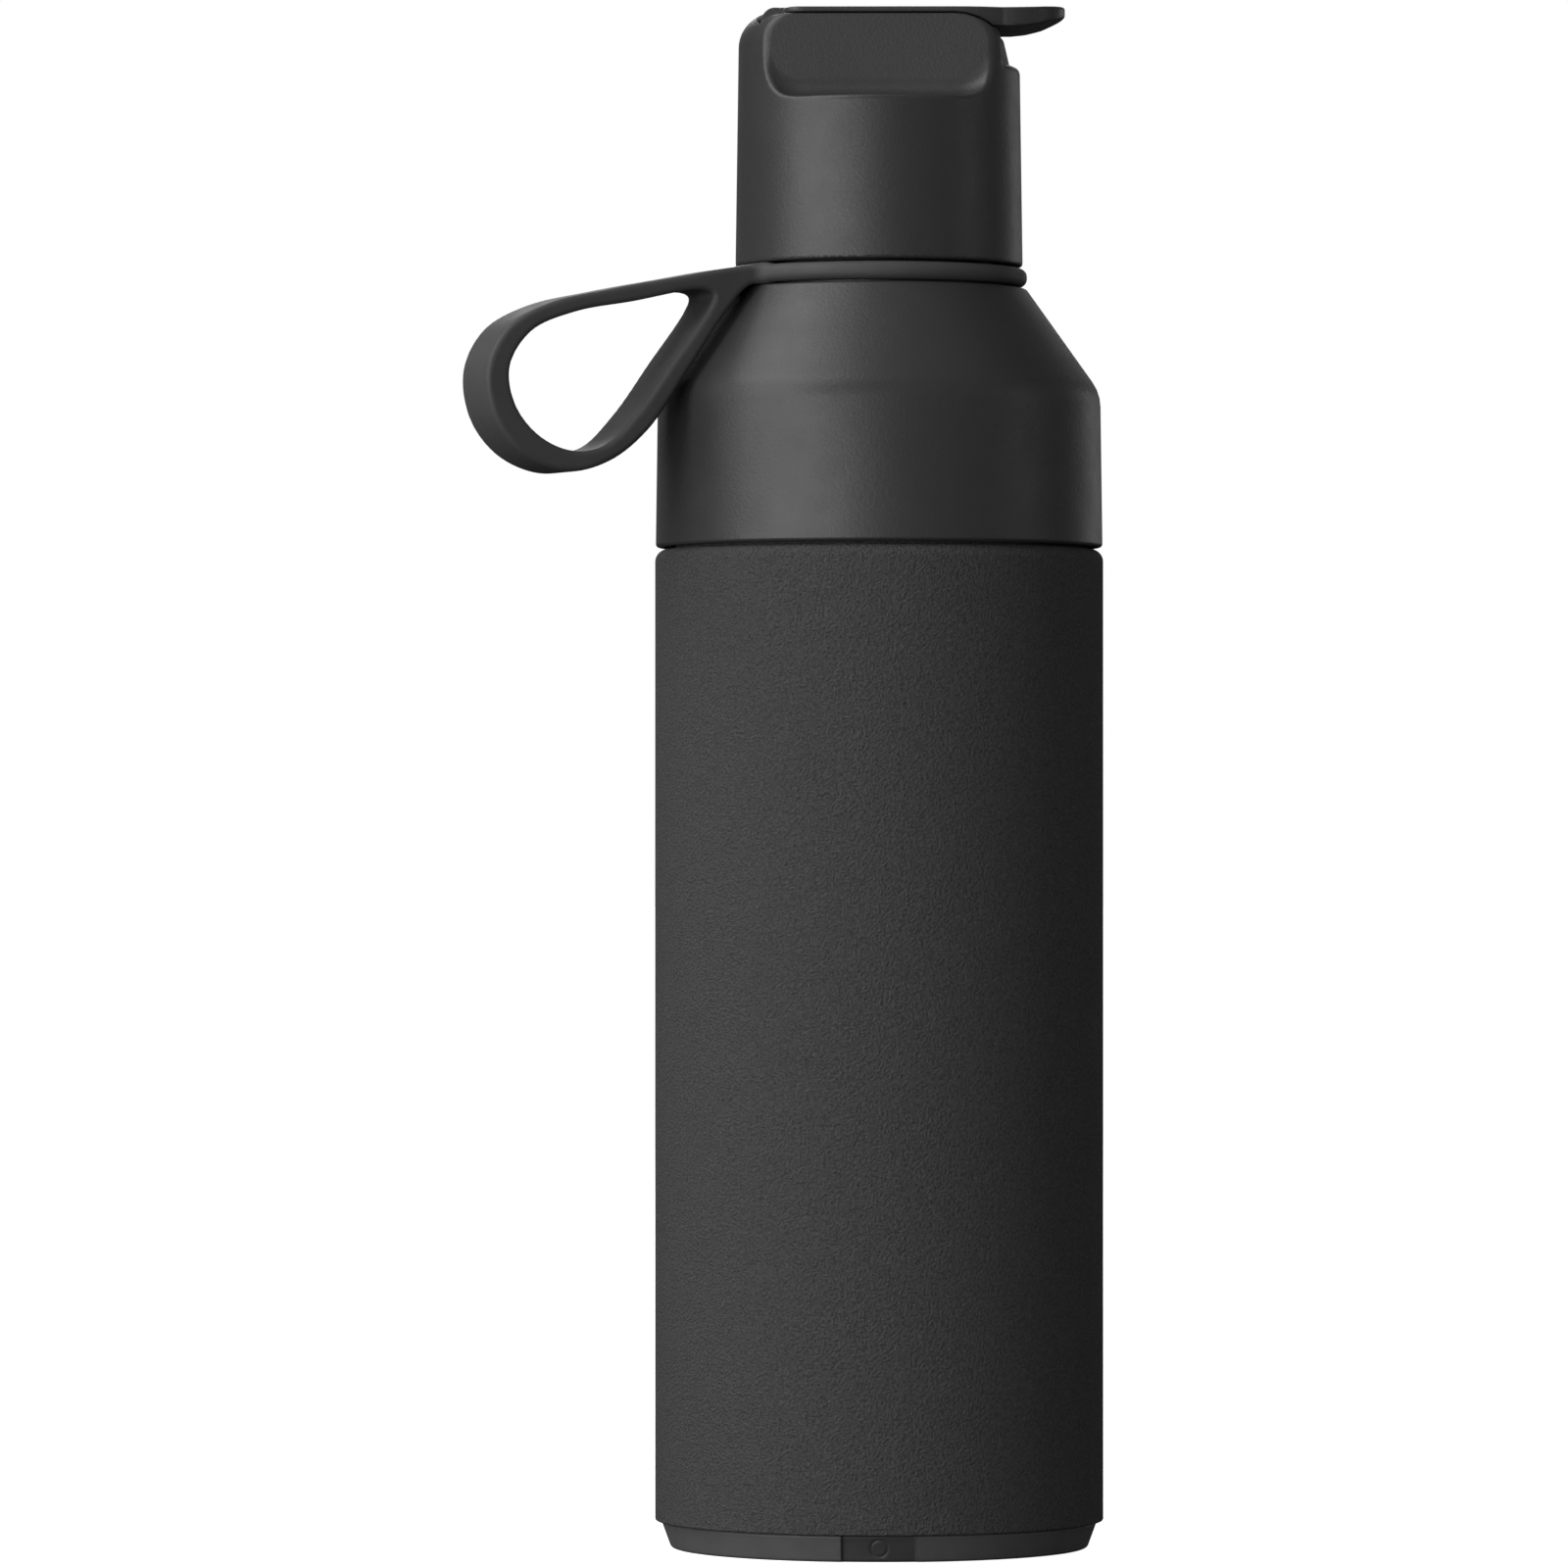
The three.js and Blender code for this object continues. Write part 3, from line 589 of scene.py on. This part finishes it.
def cap_shell():
    cavity_r, flat_wall, flat_y = 21.8, 1.5, 13.5
    flat_bottom, flat_half, corner_r = 235.0, 21.0, 8.4
    shoulder_r, shoulder_top, top_r = 5.5, 249.7, 22.9
    draft = (cap_high.x - top_r) / (shoulder_top - shoulder_r - cap_low.z)
    boss_half, boss_bottom = 11.8, 242.0

    def outside(x, y, z, r):
        wall = r - (cap_high.x - draft * (z - cap_low.z))
        form = cut_round(wall, z - shoulder_top, shoulder_r)
        form = cut_round(form, cap_low.z - CAP_DROP - z, 0.4)
        ledge = cut_round(np.abs(x) - flat_half, flat_bottom - z, corner_r)
        recess = cut_round(flat_y - np.abs(y), ledge, 3.4)
        form = cut_round(form, -recess, 0.8)
        raised_back = np.maximum(x - PIVOT.x, np.abs(y) - LUG_HALF)
        seat = np.minimum(above_seat(x, z), raised_back)
        form = cut_round(form, seat, 0.35)
        return np.minimum(form, rod_distance(x, y, z, KNUCKLE_R, LUG_HALF))

    def distance(points):
        x, y, z = points.T
        r = np.hypot(x, y)
        form = outside(x, y, z, r)
        window = cut_round(np.abs(y) - WINDOW_HALF, WINDOW_BACK - x, 0.8)
        window = cut_round(window, FRONT_TOP - z, 0.3)
        form = cut_round(form, -window, 1.2)
        lower = np.maximum(r - cavity_r, z - flat_bottom + flat_wall)
        upper = np.maximum(r - cavity_r, np.abs(y) - flat_y + flat_wall)
        upper = cut_round(upper, z - SEAT_Z + flat_wall, 3)
        boss = np.maximum(np.maximum(x - WINDOW_BACK, np.abs(y) - boss_half), boss_bottom - z)
        cavity = np.maximum(np.minimum(lower, upper), -boss)
        form = np.maximum(form, -cavity)
        form = cut_round(form, -hinge_slots(x, y, z), 0.15)
        return np.maximum(form, -rod_distance(x, y, z, PIN_HOLE_R, LUG_HALF + LID_GAP))

    reach = cap_high.x + 1
    low = (-reach, -reach, cap_low.z - 1)
    return surface("cap_housing", distance, low, (reach, reach, cap_high.z + 1), 0.42)


def cap_core():
    low, high = cap_core_low.z, cap_core_high.z
    outer_r, thread_r = cap_core_high.x, 20.0
    roof = high - 2
    start = 211.0
    hole_x, hole_r, vent_r = 8, 6, 1.5

    def distance(points):
        x, y, z = points.T
        r, angle = np.hypot(x, y), np.arctan2(y, x)
        ridge = thread(thread_r, thread_r - 1.1, start)
        bore_r = ridge(np.full(r.shape, thread_r), z, angle)
        form = cut_round(r - outer_r, z - high, 0.4)
        form = cut_round(form, low - z, 0.3)
        form = cut_round(form, -cut_round(r - bore_r, z - roof, 0.5), 0.3)
        flow = np.minimum(np.hypot(x - hole_x, y) - hole_r, np.hypot(x - VENT_X, y) - vent_r)
        return cut_round(form, -flow, 0.3)

    reach = outer_r + 1
    return surface("cap_core_fine", distance, (-reach, -reach, low - 1),
                   (reach, reach, high + 1), 0.5)


def spout():
    low, top = spout_low.z, DECK_TOP
    half, back = spout_high.y, spout_low.x
    front_r = spout_high.x
    wall, lean = 1.5, 0.23
    mouth_r, vent_r = 4.2, 1.7

    def distance(points):
        x, y, z = points.T
        r = np.hypot(x, y) + np.maximum(z - FRONT_TOP - 0.1, 0) * lean
        plan = cut_round(r - front_r, np.abs(y) - half, 1.5)
        plan = cut_round(plan, back - x, 1.0)
        form = cut_round(plan, z - top, 1.1)
        form = np.maximum(form, low - z)
        room = np.maximum(np.maximum(r - front_r + wall, np.abs(y) - half + wall), back + wall - x)
        form = np.maximum(form, -cut_round(room, z - top + 2.6, 1))
        mouth = np.hypot(x - MOUTH_X, y) - mouth_r
        vent = np.hypot(x - VENT_X, y) - vent_r
        return cut_round(form, -np.minimum(mouth, vent), 0.5)

    reach = front_r + 1
    return surface("spout_fine", distance, (back - 1, -half - 1, low - 1),
                   (reach, half + 1, top + 1), 0.35)


# ---- The flip lid --------------------------------------------------------------------------
def ease(start, control, end, steps=8):
    """Points on a quadratic curve, without its last point."""
    start, control, end = (np.array(point, float) for point in (start, control, end))
    shares = np.arange(steps)[:, None] / steps
    return (1 - shares) ** 2 * start + 2 * shares * (1 - shares) * control + shares**2 * end


def lid_outline():
    """The lid in plan, seen from above, with room at the back for the middle lug."""
    half, tab_half = lid_high.y, 10.3
    tab_x = lid_high.x - tab_half
    lug_room_x = PIVOT.x + KNUCKLE_R + 0.4
    back, corner = -15.4, 3.0
    inner = LUG_HALF + LID_GAP
    side = [np.array([[lug_room_x, -inner], [PIVOT.x, -inner], [PIVOT.x, -KNUCKLE_HALF],
                      [back, -KNUCKLE_HALF]])]
    turn = np.radians(np.arange(190, 271, 10))[:, None]
    centre = (back + corner, corner - half)
    side.append(np.hstack([centre[0] + corner * np.cos(turn), centre[1] + corner * np.sin(turn)]))
    side.append(ease((BEND_X, -half), (16, -half), (tab_x, -tab_half)))
    turn = np.radians(np.arange(-90, 0, 5))[:, None]
    side.append(np.hstack([tab_x + tab_half * np.cos(turn), tab_half * np.sin(turn)]))
    right = np.concatenate(side)
    left = right[::-1] * (1, -1)
    return np.concatenate([right, [[lid_high.x, 0]], left])


def flip_lid():
    outline = lid_outline()
    tip = lid_high.x
    level, tab_x = SEAT_Z + LID_GAP + 0.95, 20.0
    tip_rise = lid_high.z - level
    under_curve = np.array([(21.5, 246.85), (24, 247.05), (26.5, 247.55), (28.3, 248.2),
                            (29.6, 248.7), (tip, 249.1)])

    def distance(points):
        x, y, z = points.T
        plan = outline_distance(x, y, outline)
        over = z - level - tip_rise * np.clip((x - tab_x) / (tip - tab_x), 0, 1.1) ** 2
        under = -above_seat(x, z, -LID_GAP)
        rise = np.interp(x, under_curve[:, 0], under_curve[:, 1]) - z
        under = np.where(x > under_curve[0, 0], rise, under)
        form = cut_round(plan, over, 0.5)
        form = cut_round(form, under, 0.3)
        knuckle = rod_distance(x, y, z, KNUCKLE_R, KNUCKLE_HALF)
        knuckle = cut_round(knuckle, LUG_HALF + LID_GAP - np.abs(y), 0.2)
        form = np.minimum(form, knuckle)
        return np.maximum(form, -rod_distance(x, y, z, PIN_HOLE_R, KNUCKLE_HALF - 0.5))

    low = (lid_low.x - 0.8, -lid_high.y - 0.8, lid_low.z - 0.8)
    high = (tip + 0.8, lid_high.y + 0.8, lid_high.z + 0.8)
    return surface("flip_lid_fine", distance, low, high, 0.3)


def lid_liner():
    corner = 4.0
    middle = (liner_low.x + liner_high.x) / 2
    half_x, half_y = (liner_high.x - liner_low.x) / 2, liner_high.y

    def distance(points):
        x, y, z = points.T
        plan = cut_round(np.abs(x - middle) - half_x, np.abs(y) - half_y, corner)
        form = cut_round(plan, liner_low.z - z, 0.6)
        return cut_round(form, above_seat(x, z), 0.2)

    return surface("lid_liner_fine", distance, [value - 0.8 for value in liner_low],
                   [value + 0.8 for value in liner_high], 0.35)


def lid_plug(node, name):
    low, high = box_mm(node)
    radius = (high.x - low.x) / 2
    profile = rounded([(0, low.z, 0), (radius, low.z, 0.35), (radius, high.z, 0.1),
                       (0, high.z, 0)])
    return turned(name, profile, centre_x=(low.x + high.x) / 2)


# ---- The strap -----------------------------------------------------------------------------
LIFT = JOINTS["strap_lift"]
OUTWARD = Vector(LIFT["pos_m"][:2]).normalized()  # the loop's direction from the bottle's axis
STRAP_WIDTH = 11.0
# Distance from the bottle's axis, then height. The outline starts and ends inside the ring.
STRAP_OUTSIDE = [
    (21.8, 208), (27.9, 207.5), (38.5, 205.6), (50, 203.4), (60.5, 200.9), (67.7, 196.9),
    (71.2, 190.4), (70.1, 182.6), (65.2, 176.7), (57.6, 174), (50, 175.8), (43.2, 181),
    (36.5, 190.3), (29.1, 200.7), (25.6, 204.4), (21.8, 205.4),
]
STRAP_HOLE = [
    (33.6, 203.7), (46, 201.5), (56, 199.6), (63.6, 196.3), (67.3, 190.6), (66.3, 184.5),
    (62.2, 179.7), (56.5, 177.4), (50.9, 178.3), (45.2, 183.6), (38.7, 192.3), (32.5, 200.8),
    (31.8, 202.9),
]


def flowing(knots, closed, steps=8):
    """Points on a centripetal Catmull-Rom curve through the knots."""
    knots = np.array(knots, float)
    if closed:
        padded = np.vstack([knots[-1], knots, knots[:2]])
    else:
        padded = np.vstack([2 * knots[0] - knots[1], knots, 2 * knots[-1] - knots[-2]])
    points = []
    for p0, p1, p2, p3 in zip(padded, padded[1:], padded[2:], padded[3:]):
        t1 = np.linalg.norm(p1 - p0) ** 0.5
        t2 = t1 + np.linalg.norm(p2 - p1) ** 0.5
        t3 = t2 + np.linalg.norm(p3 - p2) ** 0.5
        for t in np.linspace(t1, t2, steps, endpoint=False):
            a1 = p0 + (p1 - p0) * t / t1
            a2 = p1 + (p2 - p1) * (t - t1) / (t2 - t1)
            a3 = p2 + (p3 - p2) * (t - t2) / (t3 - t2)
            b1 = a1 + (a2 - a1) * t / t2
            b2 = a2 + (a3 - a2) * (t - t1) / (t3 - t1)
            points.append(b1 + (b2 - b1) * (t - t1) / (t2 - t1))
    if not closed:
        points.append(knots[-1])
    return np.array(points)


def strap():
    outside = flowing(STRAP_OUTSIDE, closed=False)
    hole = flowing(STRAP_HOLE, closed=True)
    ring_z, ring_half = 206.62, 1.47
    ring_in, ring_out = 20.8, 24.1
    gap = 0.08  # left over the collar and under the cap
    reach, lowest, highest = 72.7, 173.0, 209.0

    def distance(points):
        x, y, z = points.T
        out = x * OUTWARD.x + y * OUTWARD.y
        across = x * OUTWARD.y - y * OUTWARD.x
        side = cut_round(outline_distance(out, z, outside), -outline_distance(out, z, hole), 0.4)
        band = cut_round(side, np.abs(across) - STRAP_WIDTH / 2, 0.75)
        r = np.hypot(x, y)
        ring = cut_round(np.abs(r - (ring_in + ring_out) / 2) - (ring_out - ring_in) / 2,
                         np.abs(z - ring_z) - ring_half, 1.3)
        form = np.maximum(join_round(band, ring, 1.6), ring_in - r)
        above_collar = np.maximum(z - collar_high.z, (r - 24) * 0.8 + (z - collar_high.z) * 0.6)
        under_cap = cap_low.z - CAP_DROP - z
        return np.maximum(form, gap - np.minimum(above_collar, under_cap))

    corners = np.array([[OUTWARD.x * reach, OUTWARD.y * reach], [ring_out, ring_out],
                        [-ring_out, -ring_out]])
    low = (corners[:, 0].min() - 4, corners[:, 1].min() - 6, lowest)
    high = (ring_out + 1, ring_out + 1, highest)
    return surface("carry_strap", distance, low, high, 0.38, own_normals=False)


# ---- Putting the pieces on the frame --------------------------------------------------------
finish_piece(flask_skin(), "powder_coat", "flask", "outer_shell")
finish_piece(inner_flask(), "steel", "flask", "inner_flask")
finish_piece(base_boot(), "boot_rubber", "flask", "base_boot")
finish_piece(collar_shell(), "satin_black", "collar", "collar_shell")
finish_piece(collar_core(), "inner_plastic", "collar", "collar_core")
finish_piece(cap_shell(), "satin_black", "cap", "cap_shell")
finish_piece(cap_core(), "inner_plastic", "cap", "cap_core")
finish_piece(spout(), "inner_plastic", "cap", "spout")
finish_piece(flip_lid(), "satin_black", "lid", "flip_lid")
finish_piece(lid_liner(), "inner_plastic", "lid", "lid_liner")
finish_piece(lid_plug("mouth_plug", "mouth_plug_fine"), "clear_seal", "lid", "mouth_plug")
finish_piece(lid_plug("vent_plug", "vent_plug_fine"), "clear_seal", "lid", "vent_plug")

carry_strap = finish_piece(strap(), "silicone", None, "strap_ring", "strap_loop")
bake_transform(carry_strap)

for entry in frame["record"]["subparts"]:
    node = frame["nodes"][entry["node"]]
    node.data.materials.clear()
    node.data.materials.append(MATERIALS[entry["material_slot"]])


# ---- Room, light and camera -----------------------------------------------------------------
def room_plate(name, size, finish):
    """A level rectangle at the origin that belongs to the room."""
    across, along = size[0] / 2, size[1] / 2
    mesh = bpy.data.meshes.new(name)
    corners = [(-across, -along, 0), (across, -along, 0), (across, along, 0), (-across, along, 0)]
    mesh.from_pydata(corners, [], [(0, 1, 2, 3)])
    mesh.materials.append(finish.material)
    obj = bpy.data.objects.new(name, mesh)
    bpy.context.scene.collection.objects.link(obj)
    return obj


def matt(name, level, **settings):
    """A dull plain finish for the room."""
    finish = Finish(name, Specular_IOR_Level=0.0, **settings)
    finish.colours(finish.noise(400), grey(level), grey(level * 1.02))
    finish.rough(finish.noise(50), 0.8, 0.9)
    return finish


def floors(dark):
    """A wide pale floor that lights nothing. A dark one just under it, unseen, keeps the
    surround's light from coming up."""
    glow = {"Emission_Strength": 0.97, "Emission_Color": (1, 1, 1, 1)}
    pale = room_plate("studio_floor", (30, 30), matt("pale_floor", 0.80, **glow))
    pale.visible_diffuse = False
    pale.visible_glossy = False
    under = room_plate("dark_underfloor", (30, 30), dark)
    under.location.z = -MM
    under.visible_camera = False


def face_bottle(obj, azimuth, height, distance):
    """Turns a lamp or a flag to the bottle. Azimuth 0 is the camera's side, + is to the right."""
    turn = math.radians(azimuth)
    obj.location = (distance * math.sin(turn), -distance * math.cos(turn), height)
    aim = Vector((0, 0, 0.13)) - obj.location
    obj.rotation_euler = aim.to_track_quat("-Z", "Y").to_euler()
    obj.visible_camera = False


def dark_flag(name, azimuth, height, distance, size, dark):
    """An unseen dark plate that keeps the surround's light off one side of the bottle."""
    face_bottle(room_plate(name, size, dark), azimuth, height, distance)


def soft_light(name, azimuth, height, distance, size, power):
    """A lamp as wide and high as size, in metres, that faces the bottle."""
    lamp = bpy.data.lights.new(name, "AREA")
    lamp.shape = "RECTANGLE"
    lamp.size, lamp.size_y = size
    lamp.energy = power
    obj = bpy.data.objects.new(name, lamp)
    bpy.context.scene.collection.objects.link(obj)
    face_bottle(obj, azimuth, height, distance)


def white_surround(seen, ambient):
    """White behind the object, with only a little of it lighting the object."""
    world = bpy.data.worlds.new("studio")
    world.use_nodes = True
    bpy.context.scene.world = world
    tree = world.node_tree
    tree.nodes.clear()
    path = tree.nodes.new("ShaderNodeLightPath")
    mix = tree.nodes.new("ShaderNodeMixShader")
    output = tree.nodes.new("ShaderNodeOutputWorld")
    for socket, strength in ((1, ambient), (2, seen)):
        background = tree.nodes.new("ShaderNodeBackground")
        background.inputs["Strength"].default_value = strength
        background.inputs["Color"].default_value = (1, 1, 1, 1)
        tree.links.new(background.outputs["Background"], mix.inputs[socket])
    tree.links.new(path.outputs["Is Camera Ray"], mix.inputs["Fac"])
    tree.links.new(mix.outputs["Shader"], output.inputs["Surface"])


def camera():
    """A long lens in front of the bottle, a little below the middle of its height."""
    data = bpy.data.cameras.new("camera")
    data.lens, data.sensor_width = 211.3, 36.0
    data.clip_end = 100
    obj = bpy.data.objects.new("camera", data)
    obj.location = (0, -1.5, 0.1146)
    aim = Vector((-0.0155, 0, 0.1242)) - obj.location
    obj.rotation_euler = aim.to_track_quat("-Z", "Y").to_euler()
    bpy.context.scene.collection.objects.link(obj)
    bpy.context.scene.camera = obj


bpy.context.scene.view_settings.view_transform = "Standard"
dark = matt("dark_plate", 0.14)
floors(dark)
dark_flag("dark_left", -130, 0.45, 1.25, (1.1, 1.3), dark)
dark_flag("dark_upper_right", 122, 0.95, 0.75, (0.8, 0.7), dark)
white_surround(seen=1.0, ambient=0.19)
soft_light("key", -59, 0.40, 1.4, (0.85, 1.4), 13.5)
soft_light("low_left", -30, 0.12, 1.6, (0.8, 0.22), 6.7)
soft_light("top", -70, 1.35, 0.85, (1.3, 0.8), 12)
soft_light("front_fill", -12, 0.25, 1.9, (1.0, 1.0), 3.0)
soft_light("right_fill", 35, 0.25, 1.9, (1.0, 1.0), 0.9)
soft_light("right_side", 78, 0.30, 1.6, (0.3, 1.0), 1.3)
soft_light("rim", 142, 0.12, 1.2, (0.16, 0.7), 0.6)
soft_light("back_fill", 180, 1.0, 1.5, (1.0, 0.7), 7)
camera()
